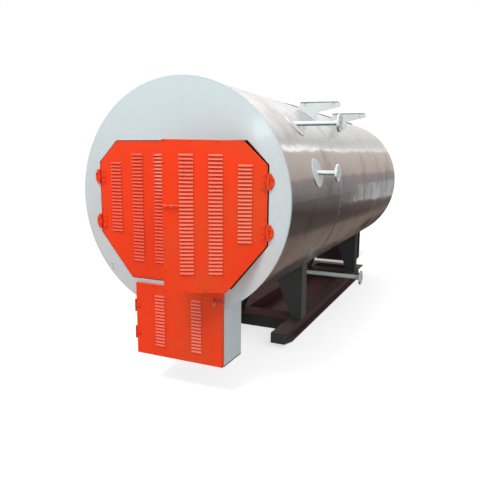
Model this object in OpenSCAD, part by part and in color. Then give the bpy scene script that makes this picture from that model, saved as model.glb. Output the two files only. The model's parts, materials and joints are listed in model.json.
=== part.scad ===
// Horizontal industrial steam boiler on a beam skid. An insulated drum is closed in front by
// a flat plate with an octagonal pair of louvred leaves, over a louvred service box.
// Millimetres. X is right as seen from the front, Y runs along the drum to the rear, Z is up.
// The origin is on the ground, on the centre line, under the middle of the front saddle.

/* [Drum] */
// Outer radius of the rim round the front plate
rim_r = 900; // [860:5:940]
// Height of the rim's lowest point above the ground
rim_low_z = 643; // [600:1:700]
// How far the front face stands ahead of the front saddle
face_ahead = 1783; // [1600:1:1900]
// Length of the drum from its front face to its rear face
drum_len = 4747; // [4600:1:4900]
// Width of the rim as seen from the front
rim_w = 10; // [6:1:16]
// Depth of the rim
rim_depth = 24; // [16:1:40]
// Thickness of the front plate
front_plate_t = 8; // [5:1:12]
// Step from the rim down to the cladding
clad_step = 5; // [3.5:0.5:8]
// Thickness of the cladding sheet
clad_t = 6; // [4:1:8]
// Step from the front cladding up to the rear cladding at the seam
seam_step = 2.5; // [1:0.5:3]
// Distance of the cladding seam from the front face
seam_at = 1400; // [1200:10:1600]
// Distance of the bulkhead behind the leaves from the front face
bulkhead_at = 300; // [292:1:400]
// Thickness of the bulkhead
bulkhead_t = 12; // [8:1:20]
// Thickness of the rear plate
rear_plate_t = 8; // [5:1:12]
// Width of the hanging plate at the rear
rear_skirt_w = 780; // [700:10:840]
// Height of the hanging rear plate's lower edge above the ground
rear_skirt_z = 217; // [190:1:260]
// Height of the hanging rear plate's upper edge above the ground
rear_skirt_top_z = 900; // [760:10:1100]
// Thickness of the hanging rear plate
rear_skirt_t = 10; // [6:1:14]
// Width of the cut at the hanging rear plate's lower corners
rear_skirt_cut = 64; // [40:1:90]
// Thickness of the middle pad along the crest
crest_pad_t = 9; // [6:1:12]
// Length of the middle pad along the crest
crest_pad_len = 290; // [200:10:400]
// Half width of the pads along the crest
crest_pad_half_w = 290; // [200:5:340]

/* [Front leaves] */
// Distance of a leaf's hinge edge inside the rim
side_border = 170; // [160:1:190]
// Distance of the leaves' top edge below the rim's top
top_border = 471; // [455:1:485]
// Distance of the leaves' bottom edge above the rim's lowest point
bottom_border = 255; // [250:1:270]
// Width of the upper corner cut
top_cut = 166; // [150:1:180]
// Height of the upper corner cut
top_cut_h = 164; // [150:1:180]
// Width of the lower corner cut
bottom_cut = 286; // [270:1:300]
// Height of the lower corner cut
bottom_cut_h = 343; // [330:1:355]
// Depth of a leaf's folded edge
leaf_depth = 26; // [18:1:32]
// Thickness of the leaf sheet
leaf_sheet = 3; // [2:0.5:4]
// Gap between a leaf and the opening
leaf_gap = 6; // [5:0.5:9]
// Gap between the two leaves
meeting_gap = 8; // [7:0.5:12]
// Angle at which the right leaf stands ajar
ajar = 25.4; // [0:0.1:60]

/* [Louvres] */
// Width of a leaf louvre
louvre_w = 98; // [80:1:110]
// Distance from one louvre to the next in a column
louvre_pitch = 26.7; // [25:0.1:28]
// Height of a louvre from its root to its lip
louvre_h = 13; // [10:0.5:14]
// How far a louvre stands out
louvre_rise = 9; // [6:0.5:11]
// Thickness of a louvre's hood
louvre_sheet = 2; // [1.5:0.1:2.5]
// Distance of the top inner louvre below a leaf's top edge
inner_top_margin = 104; // [90:1:130]
// Least distance of the lowest inner louvre above a leaf's bottom edge
inner_low_margin = 142; // [110:1:160]
// Distance of the top outer louvre below the upper corner at the hinge edge
outer_top_margin = 7; // [5:1:30]
// Least distance of the lowest outer louvre above the lower corner at the hinge edge
outer_low_margin = 25; // [20:1:50]
// Distance of the outer column's middle from the hinge edge
column_edge = 156; // [140:1:170]
// Distance of the inner column's middle from the centre line
column_inner = 168; // [150:1:180]
// Rows in each column of the box door
box_rows = 16; // [10:1:18]
// Width of a louvre in the box door
box_louvre_w = 87; // [70:1:100]
// Distance of the box door's louvre columns from its middle
box_column_x = 164; // [120:1:220]

/* [Leaf hinges] */
// Height of a leaf hinge
hinge_h = 114; // [100:1:124]
// How far an ear reaches beyond a leaf's pivot
ear_w = 45; // [38:1:56]
// Radius of a hinge barrel
barrel_r = 9; // [8:0.5:10]
// Radius of a hinge pin
pin_r = 4; // [3:0.5:5]
// Radial play of a hinge pin
pin_play = 0.1; // [0.05:0.01:0.1]
// Gap between the knuckles of a hinge
knuckle_gap = 1; // [0.5:0.5:3]
// Distance of an upper leaf hinge below the upper corner at the hinge edge
hinge_top_margin = 115; // [90:1:140]
// Distance of a lower leaf hinge above the lower corner at the hinge edge
hinge_low_margin = 94; // [80:1:120]
// Distance of a leaf's pivot beyond its hinge edge
pivot_out = 3; // [2:0.5:4]
// Distance of a leaf's pivot ahead of the front face
pivot_ahead = 13; // [12:0.5:15]
// Thickness of a hinge plate
hinge_plate_t = 6; // [4:0.5:7]
// Width of a strap on a leaf
strap_w = 36; // [28:1:44]
// Length of the bolt bar on the right leaf
bolt_len = 107; // [90:1:108]
// Depth of the bolt bar's middle below the drum's axis
bolt_below = 22; // [0:1:40]

/* [Service box] */
// Width of the service box
box_w = 780; // [740:1:800]
// Height of the box's top edge above the rim's lowest point
box_top_rise = 223; // [210:1:232]
// Height of the box's floor above the ground
box_floor_z = 277; // [250:1:300]
// Depth of the box behind the front face
box_depth = 286; // [260:1:290]
// Thickness of the box's walls
box_wall = 3; // [2:0.5:5]
// How far the box's frame stands ahead of the front face
box_frame_out = 8; // [6:0.5:12]
// Width of the box's frame
box_frame_w = 14; // [10:1:20]
// Gap between the box's frame and its door
box_door_gap = 5; // [5:0.5:8]
// Depth of the box door
box_door_depth = 20; // [14:1:26]
// How far the door's edges stand inside the box's edges
box_door_inset = 2; // [1:0.5:4]
// Height of a box hinge
box_hinge_h = 100; // [90:1:110]
// Distance of the upper box hinge below the front plate's edge at the box's side
box_hinge_drop = 72; // [66:1:110]
// Height of the lower box hinge above the box floor
box_hinge_low = 171; // [140:1:190]
// Distance of the box door's pivot outside the door's edge
box_pivot_out = 14; // [13:0.5:16]
// Length of the hasp
hasp_len = 92; // [80:1:110]
// Depth of the hasp below the box's top edge
hasp_below = 64; // [50:1:80]

/* [Skid] */
// Width of a runner beam
beam_w = 150; // [140:1:160]
// Height of a runner beam
beam_h = 150; // [140:1:160]
// Thickness of a beam flange
flange_t = 10; // [8:0.5:13]
// Thickness of a beam web
web_t = 7; // [5:0.5:10]
// Distance of a runner's middle from the centre line
runner_x = 364; // [350:1:380]
// How far the runners reach ahead of the front saddle
runner_front = 603; // [500:1:700]
// How far the runners reach behind the rear saddle
runner_behind = 553; // [500:1:620]
// Thickness of the plates that close the runners' front ends
end_plate_t = 8; // [6:1:12]
// Width of a cross beam
cross_w = 150; // [120:1:160]
// Width of the base plate on a cross beam
base_plate_w = 262; // [240:1:290]
// Thickness of the plate that closes the skid between the runners
skid_floor_t = 5; // [3:0.5:8]
// Gap left round that plate
skid_floor_gap = 2; // [1:0.5:4]

/* [Saddles] */
// How far the rear saddle stands ahead of the drum's rear face
rear_inset = 414; // [360:1:460]
// Depth of a leg along the drum
leg_depth = 155; // [140:1:170]
// Thickness of a leg plate
leg_t = 12; // [8:1:16]
// Distance of a leg's outer face from the centre line
leg_out = 429; // [415:1:437]
// Distance of a leg's inner corner at the foot from the centre line
leg_foot = 312; // [300:1:340]
// Distance of a leg's inner corner at the drum from the centre line
leg_head = 115; // [100:1:160]
// Width of a saddle's curved pad along the drum
pad_w = 200; // [180:1:230]
// Thickness of a saddle's curved pad
pad_t = 12; // [8:1:16]
// Gap left where a curved face is seated
seat_gap = 0.3; // [0.2:0.1:0.5]

/* [Nozzles and brackets] */
// Distance of the gauge nozzles from the front face
gauge_at = 690; // [640:1:740]
// Height of the upper gauge nozzle above the drum's axis
gauge_upper = 596; // [580:1:610]
// Height of the lower gauge nozzle above the drum's axis
gauge_lower = 207; // [190:1:220]
// How far the gauge flanges' faces stand outside the rim
gauge_reach = 150; // [120:1:180]
// Outer diameter of a gauge pipe
gauge_pipe_d = 38; // [36:1:40]
// Diameter of a gauge flange
gauge_flange_d = 140; // [138:1:142]
// Bolt circle diameter of a gauge flange
gauge_pcd = 100; // [98:1:102]
// Thickness of a gauge flange
gauge_flange_t = 18; // [14:1:22]
// Diameter of the flange bolt holes
bolt_hole_d = 18; // [16:0.5:19]
// Wall of the pipes
pipe_wall = 4; // [3:0.5:5]
// Diameter of the collar round a gauge pipe
collar_d = 240; // [200:5:280]
// Thickness of a collar
collar_t = 5; // [3:0.5:8]
// Distance of the drain from the front face
drain_at = 2600; // [2400:10:2900]
// Distance of the drain's riser to the left of the centre line
drain_riser_x = 200; // [160:10:260]
// Height of the drain pipe's middle above the ground
drain_z = 467; // [440:1:490]
// Distance of the drain flange's face from the centre line
drain_face_x = 882; // [850:1:920]
// Outer diameter of the drain pipe
drain_pipe_d = 57; // [54:1:60]
// Diameter of the drain flange
drain_flange_d = 165; // [162:1:168]
// Bolt circle diameter of the drain flange
drain_pcd = 125; // [123:1:127]
// Thickness of the drain flange
drain_flange_t = 20; // [16:1:24]
// Distance of the front bracket from the front face
bracket_at = 1520; // [1450:10:1600]
// Distance between the two brackets
bracket_pitch = 1180; // [1100:10:1300]
// Thickness of a bracket plate
bracket_t = 10; // [8:1:14]
// Diameter of a bracket's holes
bracket_hole_d = 22; // [18:0.5:24]
// Distance between the middles of a bracket's rounded ends
bracket_reach = 352; // [340:1:400]
// Distance between a bracket's two holes
bracket_hole_pitch = 276; // [250:1:290]

/* [Hidden] */

$fn = 96;
over = 1;
axis_z = rim_low_z + rim_r;
face_y = -face_ahead;
rear_y = face_y + drum_len;
saddle_pitch = rear_y - rear_inset;
runner_rear = saddle_pitch + runner_behind;
clad_r = rim_r - clad_step;
rear_clad_r = clad_r + seam_step;
leaf_w = rim_r - side_border;
leaf_top = rim_r - top_border;
leaf_shoulder = leaf_top - top_cut_h;
leaf_bottom = rim_r - bottom_border;
leaf_knee = leaf_bottom - bottom_cut_h;
leaf_pivot = [leaf_w + pivot_out, -pivot_ahead];
column_pitch = (leaf_w - column_edge - column_inner) / 2;
inner_top = leaf_top - inner_top_margin;
outer_top = leaf_shoulder - outer_top_margin;
box_top_z = rim_low_z + box_top_rise;
box_door_w = box_w - 2 * box_door_inset;
box_door_back = box_frame_out + box_door_gap;
box_door_front = box_door_back + box_door_depth;
box_pivot = [-box_door_w / 2 - box_pivot_out, -box_door_front + box_door_depth / 2];
box_edge_x = box_w / 2 + 2 * barrel_r + hinge_plate_t;
box_edge_z = axis_z - sqrt(pow(rim_r, 2) - pow(box_edge_x, 2));
drum_cut_w = box_w - 2 * box_frame_w;
gauge_face_x = rim_r + gauge_reach;

front_grey = [0.80, 0.82, 0.83];
steel = [0.66, 0.64, 0.62];
door_orange = [0.92, 0.24, 0.10];
skid_grey = [0.19, 0.19, 0.18];
primer_brown = [0.27, 0.19, 0.17];
nozzle_grey = [0.78, 0.82, 0.82];
lock_grey = [0.62, 0.60, 0.58];

// Moves an outline drawn in X and Z onto its place along Y.
module along_y(start, depth) {
    translate([0, start + depth, 0]) rotate([90, 0, 0]) linear_extrude(depth) children();
}

// Moves an outline drawn in Y and Z onto its place along X.
module along_x(start, depth) {
    translate([start, 0, 0]) rotate([90, 0, 90]) linear_extrude(depth) children();
}

// Mirrors a piece of the right side onto the left.
module left() {
    mirror([1, 0, 0]) children();
}

// Places what is drawn round the drum's axis.
module on_axis() {
    translate([0, axis_z]) children();
}

// A solid drum of radius r, used to seat what bears on the drum.
module drum_solid(r, start, depth) {
    along_y(start, depth) on_axis() circle(r, $fn = 180);
}

module drum_tube(r, wall, start, depth) {
    along_y(start, depth) on_axis() difference() {
        circle(r, $fn = 180);
        circle(r - wall, $fn = 180);
    }
}

function unit(v) = v / norm(v);
function inward(p, q) = let (u = unit(q - p)) [-u[1], u[0]];

// Moves the sides of a convex outline, listed anticlockwise, inwards by d.
function inset(points, d) = [
    for (i = [0 : len(points) - 1])
        let (
            before = points[(i + len(points) - 1) % len(points)],
            here = points[i],
            after = points[(i + 1) % len(points)],
            n1 = inward(before, here),
            n2 = inward(here, after)
        )
        here + (n1 + n2) * d / (1 + n1 * n2)
];

// Corners of the right leaf as X and height above the drum's axis.
function leaf_outline(inner_x) = [
    [inner_x, -leaf_bottom],
    [leaf_w - bottom_cut, -leaf_bottom],
    [leaf_w, -leaf_knee],
    [leaf_w, leaf_shoulder],
    [leaf_w - top_cut, leaf_top],
    [inner_x, leaf_top],
];

// Both leaves together: the octagon that the opening follows.
function octagon() = let (half = leaf_outline(0)) [
    for (i = [1 : 4]) half[i],
    for (i = [4 : -1 : 1]) [-half[i][0], half[i][1]],
];

module box_cut() {
    translate([-drum_cut_w / 2, 0]) square([drum_cut_w, box_top_z - box_frame_w]);
}

module front_plate() {
    color(front_grey) along_y(face_y, front_plate_t) difference() {
        on_axis() circle(rim_r - rim_w - seat_gap, $fn = 180);
        on_axis() polygon(inset(octagon(), -leaf_gap));
        box_cut();
    }
}

module front_rim() {
    color(front_grey) difference() {
        drum_tube(rim_r, rim_w, face_y, rim_depth);
        along_y(face_y - over, rim_depth + 2 * over) box_cut();
    }
}

module gauge_hole(height) {
    translate([0, face_y + gauge_at, axis_z + height]) rotate([0, 90, 0])
        cylinder(h = gauge_face_x, r = gauge_pipe_d / 2 + seat_gap);
}

module front_cladding() {
    color(steel) difference() {
        drum_tube(clad_r, clad_t, face_y + rim_depth, seam_at - rim_depth);
        gauge_hole(gauge_upper);
        gauge_hole(gauge_lower);
    }
}

module rear_cladding() {
    color(steel) difference() {
        drum_tube(rear_clad_r, clad_t, face_y + seam_at, drum_len - seam_at);
        translate([-drain_riser_x, face_y + drain_at, 0])
            cylinder(h = axis_z, r = drain_pipe_d / 2 + seat_gap);
    }
}

module bulkhead() {
    color(primer_brown) drum_solid(clad_r - clad_t - seat_gap, face_y + bulkhead_at, bulkhead_t);
}

module rear_plate() {
    color(front_grey)
        drum_solid(rear_clad_r - clad_t - seat_gap, rear_y - rear_plate_t, rear_plate_t);
}

module rear_skirt() {
    half = rear_skirt_w / 2;
    rise = rear_skirt_cut * 1.4;
    color(primer_brown) along_y(rear_y, rear_skirt_t) polygon([
        [-half + rear_skirt_cut, rear_skirt_z],
        [half - rear_skirt_cut, rear_skirt_z],
        [half, rear_skirt_z + rise],
        [half, rear_skirt_top_z],
        [-half, rear_skirt_top_z],
        [-half, rear_skirt_z + rise],
    ]);
}

// Where each crest pad starts and ends along Y, and its thickness.
crest_spans = [
    [-leg_depth / 2, leg_depth / 2 + 15, 0.7 * crest_pad_t],
    [saddle_pitch * 0.42, saddle_pitch * 0.42 + crest_pad_len, crest_pad_t],
    [saddle_pitch - pad_w - 18, saddle_pitch - 18, 1.5 * crest_pad_t],
];

module crest_pad(from, to, thick) {
    intersection() {
        drum_tube(rear_clad_r + seat_gap + thick, thick, from, to - from);
        translate([-crest_pad_half_w, face_y, axis_z])
            cube([2 * crest_pad_half_w, drum_len, 2 * rim_r]);
    }
}

module crest_pads() {
    color(skid_grey) for (s = crest_spans) crest_pad(s[0], s[1], s[2]);
}

// Side view of a louvre's hood: root at the top, open lip at the bottom.
module hood_profile() {
    polygon([
        [louvre_sheet / 2, louvre_h / 2 + louvre_sheet],
        [0, louvre_h / 2 + louvre_sheet],
        [-louvre_rise, -louvre_h / 2 + louvre_sheet],
        [louvre_sheet / 2, -louvre_h / 2 + louvre_sheet],
    ]);
}

// What is cut under the hood and through the sheet behind it.
module slot_profile(sheet) {
    drop = louvre_sheet * norm([louvre_rise, louvre_h]) / louvre_rise;
    lip = -louvre_h / 2 + louvre_sheet;
    lip_y = -louvre_rise * (1 - drop / louvre_h);
    polygon([
        [sheet + over, louvre_h / 2 + louvre_sheet - drop],
        [0, louvre_h / 2 + louvre_sheet - drop],
        [lip_y, lip],
        [lip_y, lip - louvre_sheet],
        [sheet + over, lip - louvre_sheet],
    ]);
}

module rows(top, count) {
    for (i = [0 : count - 1]) translate([0, top - i * louvre_pitch]) children();
}

// How many louvres fit between two heights.
function row_count(top, low) = 1 + floor((top - low) / louvre_pitch);

// A leaf's louvre columns as [distance from the hinge edge, top row, rows].
outer_rows = row_count(outer_top, outer_low_margin - leaf_knee);
inner_rows = row_count(inner_top, inner_low_margin - leaf_bottom);
leaf_columns = [
    [column_edge, outer_top, outer_rows],
    [column_edge + column_pitch, inner_top, inner_rows],
    [column_edge + 2 * column_pitch, inner_top, inner_rows],
];

// A folded sheet with its outline in X and Z, its face at the front and an edge all round.
module pan(outline, front, depth, sheet) {
    difference() {
        along_y(front, depth) polygon(outline);
        along_y(front + sheet, depth) polygon(inset(outline, sheet));
    }
}

// Adds louvre hoods to a sheet whose face is at front, and cuts their slots through it.
// Each column is [middle, top row, rows], and middle runs along X.
module louvred(columns, width, front, sheet) {
    difference() {
        union() {
            children();
            for (c = columns) translate([0, front, 0])
                along_x(c[0] - width / 2, width) rows(c[1], c[2]) hood_profile();
        }
        for (c = columns) translate([0, front, 0])
            along_x(c[0] - width / 2 + louvre_sheet, width - 2 * louvre_sheet)
                rows(c[1], c[2]) slot_profile(sheet);
    }
}

module closed_leaf() {
    columns = [for (c = leaf_columns) [leaf_w - c[0], c[1], c[2]]];
    translate([0, face_y, axis_z]) louvred(columns, louvre_w, 0, leaf_sheet)
        pan(leaf_outline(meeting_gap / 2), 0, leaf_depth, leaf_sheet);
}

// Turns what rides on the right leaf from closed to ajar.
module ajar_right() {
    translate([leaf_pivot[0], face_y + leaf_pivot[1], 0]) rotate([0, 0, ajar])
        translate([-leaf_pivot[0], -face_y - leaf_pivot[1], 0]) children();
}

module left_leaf() {
    color(door_orange) left() closed_leaf();
}

module right_leaf() {
    color(door_orange) ajar_right() closed_leaf();
}

module at_leaf_hinges() {
    for (z = [axis_z + leaf_shoulder - hinge_top_margin, axis_z - leaf_knee + hinge_low_margin])
        translate([leaf_pivot[0], face_y + leaf_pivot[1], z]) children();
}

// Heights of a hinge's middle knuckle, which turns with the door, and of its outer ones.
function knuckle(h) = h / 3;
function outer_knuckle(h) = (h - knuckle(h)) / 2 - knuckle_gap;

module at_outer_knuckles(h) {
    for (z = [-h / 2, h / 2 - outer_knuckle(h)]) translate([0, 0, z]) children();
}

// The two outer knuckles of a hinge of height h, with its pin.
module fixed_knuckles(h) {
    at_outer_knuckles(h) cylinder(h = outer_knuckle(h), r = barrel_r);
    translate([0, 0, -h / 2 - knuckle_gap]) cylinder(h = h + 2 * knuckle_gap, r = pin_r);
}

// Bores the pin's hole through a middle knuckle drawn from its lower end.
module turning_knuckle(h) {
    translate([0, 0, -knuckle(h) / 2]) difference() {
        children();
        translate([0, 0, -over]) cylinder(h = knuckle(h) + 2 * over, r = pin_r + pin_play);
    }
}

// Radius of an ear's round edge, which ends at the hinge's height.
ear_r = (pow(ear_w, 2) + pow(hinge_h / 2, 2)) / (2 * ear_w);

// D-shaped ears on the front plate that carry the right leaf.
module leaf_ears() {
    at_leaf_hinges() {
        fixed_knuckles(hinge_h);
        at_outer_knuckles(hinge_h) translate([pin_r, 0, 0])
            cube([2 * barrel_r, pivot_ahead - over, outer_knuckle(hinge_h)]);
        difference() {
            translate([ear_w - ear_r, pivot_ahead, 0]) rotate([90, 0, 0])
                cylinder(h = hinge_plate_t, r = ear_r);
            translate([-hinge_h, 0, -hinge_h])
                cube([hinge_h + leaf_gap, pivot_ahead + over, 2 * hinge_h]);
        }
    }
}

module left_leaf_ears() {
    color(door_orange) left() leaf_ears();
}

module right_leaf_ears() {
    color(door_orange) leaf_ears();
}

// Straps on a closed leaf's face, each with the middle knuckle.
module leaf_straps() {
    edge = 2 * barrel_r - pivot_out;
    at_leaf_hinges() {
        turning_knuckle(hinge_h) {
            cylinder(h = knuckle(hinge_h), r = barrel_r);
            translate([-pivot_out - edge, 0, 0])
                cube([pivot_out + edge - pin_r, pivot_ahead, knuckle(hinge_h)]);
        }
        translate([-pivot_out - edge - strap_w + over, pivot_ahead - hinge_plate_t, -hinge_h / 2])
            cube([strap_w, hinge_plate_t, hinge_h]);
    }
}

module left_leaf_straps() {
    color(door_orange) left() leaf_straps();
}

module right_leaf_straps() {
    color(door_orange) ajar_right() leaf_straps();
}

// Bolt bar with its two guides and back plate, on the right leaf's free side.
module leaf_bolt() {
    bar_r = 6;
    stand = 10;
    guide_w = 12;
    start = meeting_gap / 2 + over;
    color(door_orange) ajar_right() translate([start, face_y, axis_z - bolt_below]) {
        translate([0, -stand, 0]) rotate([0, 90, 0]) cylinder(h = bolt_len, r = bar_r);
        for (x = [guide_w, bolt_len / 2])
            translate([x, -stand - bar_r - 2, -2 * bar_r])
                cube([guide_w, stand + bar_r + 2, 4 * bar_r]);
        translate([bolt_len - 2 * bar_r, -stand - 3 * bar_r, -bar_r / 2])
            cube([bar_r, 3 * bar_r, bar_r]);
    }
}

// Open box under the drum, with a frame round its mouth.
module service_box() {
    tall = rim_r;
    deep = box_frame_out + box_depth;
    color(front_grey) union() {
        difference() {
            translate([-box_w / 2, face_y - box_frame_out, box_floor_z]) cube([box_w, deep, tall]);
            translate([-box_w / 2 + box_wall, face_y - box_frame_out - over, box_floor_z + box_wall])
                cube([box_w - 2 * box_wall, deep - box_wall + over, tall]);
            translate([-box_w, face_y - box_frame_out - over, box_top_z])
                cube([2 * box_w, box_frame_out + over - seat_gap, tall]);
            drum_solid(rim_r + seat_gap, face_y - seat_gap, box_depth + over);
        }
        along_y(face_y - box_frame_out, box_frame_out - seat_gap) difference() {
            translate([-box_w / 2, box_floor_z]) square([box_w, box_top_z - box_floor_z]);
            translate([-box_w / 2 + box_frame_w, box_floor_z + box_frame_w])
                square([box_w - 2 * box_frame_w, box_top_z - box_floor_z - 2 * box_frame_w]);
        }
    }
}

module box_door() {
    low = box_floor_z + box_door_inset;
    high = box_top_z - box_door_inset;
    half = box_door_w / 2;
    top_row = (low + high) / 2 + (box_rows - 1) * louvre_pitch / 2;
    columns = [for (x = [-box_column_x, box_column_x]) [x, top_row, box_rows]];
    color(door_orange) translate([0, face_y - box_door_front, 0])
        louvred(columns, box_louvre_w, 0, leaf_sheet)
            pan([[-half, low], [half, low], [half, high], [-half, high]], 0,
                box_door_depth, leaf_sheet);
}

module at_box_hinges() {
    for (z = [box_edge_z - box_hinge_drop, box_floor_z + box_hinge_low])
        translate([box_pivot[0], face_y + box_pivot[1], z]) children();
}

// Angles on the box's left side, with the outer knuckles and pins.
module box_hinge_plates() {
    side = -box_w / 2 - box_pivot[0];
    front = box_door_front - box_door_depth / 2 - box_frame_out;
    color(door_orange) at_box_hinges() {
        fixed_knuckles(box_hinge_h);
        at_outer_knuckles(box_hinge_h) translate([-barrel_r, 0, 0])
            cube([barrel_r, front + over, outer_knuckle(box_hinge_h)]);
        translate([0, 0, -box_hinge_h / 2]) linear_extrude(box_hinge_h) polygon([
            [-barrel_r, front],
            [side, front],
            [side, front + strap_w],
            [side - hinge_plate_t, front + strap_w],
            [side - hinge_plate_t, front + hinge_plate_t],
            [-barrel_r, front + hinge_plate_t],
        ]);
    }
}

// Straps on the box door's face, each with the middle knuckle.
module box_door_straps() {
    edge = -box_door_w / 2 - box_pivot[0];
    face = -box_door_front - box_pivot[1];
    color(door_orange) at_box_hinges() {
        turning_knuckle(box_hinge_h) {
            cylinder(h = knuckle(box_hinge_h), r = barrel_r);
            translate([pin_r, face - hinge_plate_t / 2, 0])
                cube([edge - pin_r, barrel_r, knuckle(box_hinge_h)]);
        }
        translate([edge - over, face - hinge_plate_t / 2, -knuckle(box_hinge_h) / 2])
            cube([strap_w, hinge_plate_t / 2, knuckle(box_hinge_h)]);
    }
}

hasp_t = 4;
staple_r = 8;
hasp_end_x = box_door_w / 2 + 2 * barrel_r;

// Strap on the box door that reaches past its free edge, with a staple for the padlock.
module door_hasp() {
    color(door_orange)
        translate([hasp_end_x - hasp_len, face_y - box_door_front - hasp_t, box_top_z - hasp_below]) {
            translate([0, 0, -barrel_r]) cube([hasp_len, hasp_t, 2 * barrel_r]);
            translate([staple_r, 0, 0]) difference() {
                rotate([0, 90, 0]) cylinder(h = hasp_t, r = 2 * staple_r);
                translate([-over, 0, 0]) rotate([0, 90, 0])
                    cylinder(h = hasp_t + 2 * over, r = staple_r);
                translate([-over, over, -3 * staple_r])
                    cube([hasp_t + 2 * over, 3 * staple_r, 6 * staple_r]);
            }
        }
}

// Closed padlock that hangs from the staple.
module padlock() {
    body = [24, 12, 22];
    shackle_r = 2.5;
    bow_r = 8;
    out = shackle_r + seat_gap;
    down = sqrt(pow(staple_r - shackle_r - seat_gap, 2) - pow(out, 2));
    x = hasp_end_x - hasp_len + staple_r + hasp_t / 2;
    y = face_y - box_door_front - hasp_t - out;
    color(lock_grey) translate([x, y, box_top_z - hasp_below - down - bow_r]) {
        rotate([90, 0, 0]) rotate_extrude(angle = 180) translate([bow_r, 0]) circle(shackle_r);
        for (s = [-1, 1]) translate([s * bow_r, 0, -bow_r - over])
            cylinder(h = bow_r + over, r = shackle_r);
        translate([-body[0] / 2, -body[1] / 2, -bow_r - body[2]]) cube(body);
    }
}

// Section of a runner beam, standing on the ground.
module beam_section() {
    for (z = [0, beam_h - flange_t])
        translate([-beam_w / 2, z]) square([beam_w, flange_t]);
    translate([-web_t / 2, 0]) square([web_t, beam_h]);
}

module right_runner() {
    color(primer_brown) translate([runner_x, 0, 0])
        along_y(-runner_front + end_plate_t, runner_front + runner_rear - end_plate_t)
            beam_section();
}

module left_runner() {
    left() right_runner();
}

module runner_end_plates() {
    color(skid_grey) for (x = [-runner_x, runner_x])
        translate([x - beam_w / 2, -runner_front, 0]) cube([beam_w, end_plate_t, beam_h]);
}

// Clear width between the runners' flanges.
inner_w = 2 * runner_x - beam_w;

// Hollow beam across the skid at y, under a base plate or up to the runners' tops.
module cross_beam(y, h) {
    wall = flange_t;
    translate([-inner_w / 2, y - cross_w / 2, 0]) difference() {
        cube([inner_w, cross_w, h]);
        translate([-over, wall, wall]) cube([inner_w + 2 * over, cross_w - 2 * wall, h - 2 * wall]);
    }
}

module front_cross_beam() {
    color(skid_grey) cross_beam(0, beam_h - flange_t);
}

module rear_cross_beam() {
    color(skid_grey) cross_beam(saddle_pitch, beam_h - flange_t);
}

module end_cross_beam() {
    color(skid_grey) cross_beam(runner_rear - cross_w / 2, beam_h);
}

// Plate on the runners' lower flanges, between the cross beams under the saddles.
module skid_floor() {
    half = runner_x - web_t / 2 - skid_floor_gap;
    start = cross_w / 2 + skid_floor_gap;
    color(primer_brown) translate([-half, start, flange_t])
        cube([2 * half, saddle_pitch - 2 * start, skid_floor_t]);
}

module base_plate(y) {
    color(primer_brown) translate([-inner_w / 2, y - base_plate_w / 2, beam_h - flange_t])
        cube([inner_w, base_plate_w, flange_t]);
}

module front_base_plate() {
    base_plate(0);
}

module rear_base_plate() {
    base_plate(saddle_pitch);
}

function drum_r_at(y) = y < face_y + seam_at ? clad_r : rear_clad_r;

// Right leg at y: two gussets and an outer plate, cut to the saddle pad's underside.
module leg(y) {
    pad_r = drum_r_at(y) + pad_t + seat_gap;
    top_z = axis_z - pad_r / 2;
    drum_z = axis_z - sqrt(pow(pad_r, 2) - pow(leg_head, 2));
    gusset = [
        [leg_foot, beam_h],
        [leg_out - leg_t / 2, beam_h],
        [leg_out - leg_t / 2, top_z],
        [leg_head, top_z],
        [leg_head, drum_z],
    ];
    color(skid_grey) difference() {
        union() {
            for (s = [-leg_depth / 2, leg_depth / 2 - leg_t]) along_y(y + s, leg_t) polygon(gusset);
            translate([leg_out - leg_t, y - leg_depth / 2, beam_h])
                cube([leg_t, leg_depth, top_z - beam_h]);
        }
        drum_solid(pad_r, y - leg_depth, 2 * leg_depth);
    }
}

module front_right_leg() {
    leg(0);
}

module front_left_leg() {
    left() leg(0);
}

module rear_right_leg() {
    leg(saddle_pitch);
}

module rear_left_leg() {
    left() leg(saddle_pitch);
}

// Curved pad between the drum and the legs of one saddle.
module saddle_pad(y) {
    r = drum_r_at(y) + seat_gap + pad_t;
    half = leg_out + pad_t;
    color(skid_grey) intersection() {
        drum_tube(r, pad_t, y - pad_w / 2, pad_w);
        translate([-half, y - pad_w, axis_z - 2 * r]) cube([2 * half, 2 * pad_w, 2 * r]);
    }
}

module front_saddle_pad() {
    saddle_pad(0);
}

module rear_saddle_pad() {
    saddle_pad(saddle_pitch);
}

raised_face = 2;

// Pipe along X from inside the drum to a bolted flange whose face is at face_x.
module flanged_pipe(start_x, face_x, pipe_d, flange_d, pcd, thick) {
    difference() {
        union() {
            translate([start_x, 0, 0]) rotate([0, 90, 0])
                cylinder(h = face_x - start_x - thick / 2, r = pipe_d / 2);
            translate([face_x - thick, 0, 0]) rotate([0, 90, 0])
                cylinder(h = thick - raised_face, r = flange_d / 2);
            translate([face_x - thick, 0, 0]) rotate([0, 90, 0])
                cylinder(h = thick, r = pcd / 2 - 1.2 * bolt_hole_d / 2);
        }
        for (a = [45 : 90 : 315]) rotate([a, 0, 0])
            translate([face_x - thick - over, 0, pcd / 2]) rotate([0, 90, 0])
                cylinder(h = thick + 2 * over, r = bolt_hole_d / 2);
        translate([start_x - over, 0, 0]) rotate([0, 90, 0])
            cylinder(h = face_x - start_x + 2 * over, r = pipe_d / 2 - pipe_wall);
    }
}

module gauge_nozzle(height) {
    root_x = sqrt(pow(clad_r, 2) - pow(height, 2)) - gauge_pipe_d;
    color(nozzle_grey) translate([0, face_y + gauge_at, axis_z + height])
        flanged_pipe(root_x, gauge_face_x, gauge_pipe_d, gauge_flange_d, gauge_pcd, gauge_flange_t);
}

module upper_gauge_nozzle() {
    gauge_nozzle(gauge_upper);
}

module lower_gauge_nozzle() {
    gauge_nozzle(gauge_lower);
}

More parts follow.
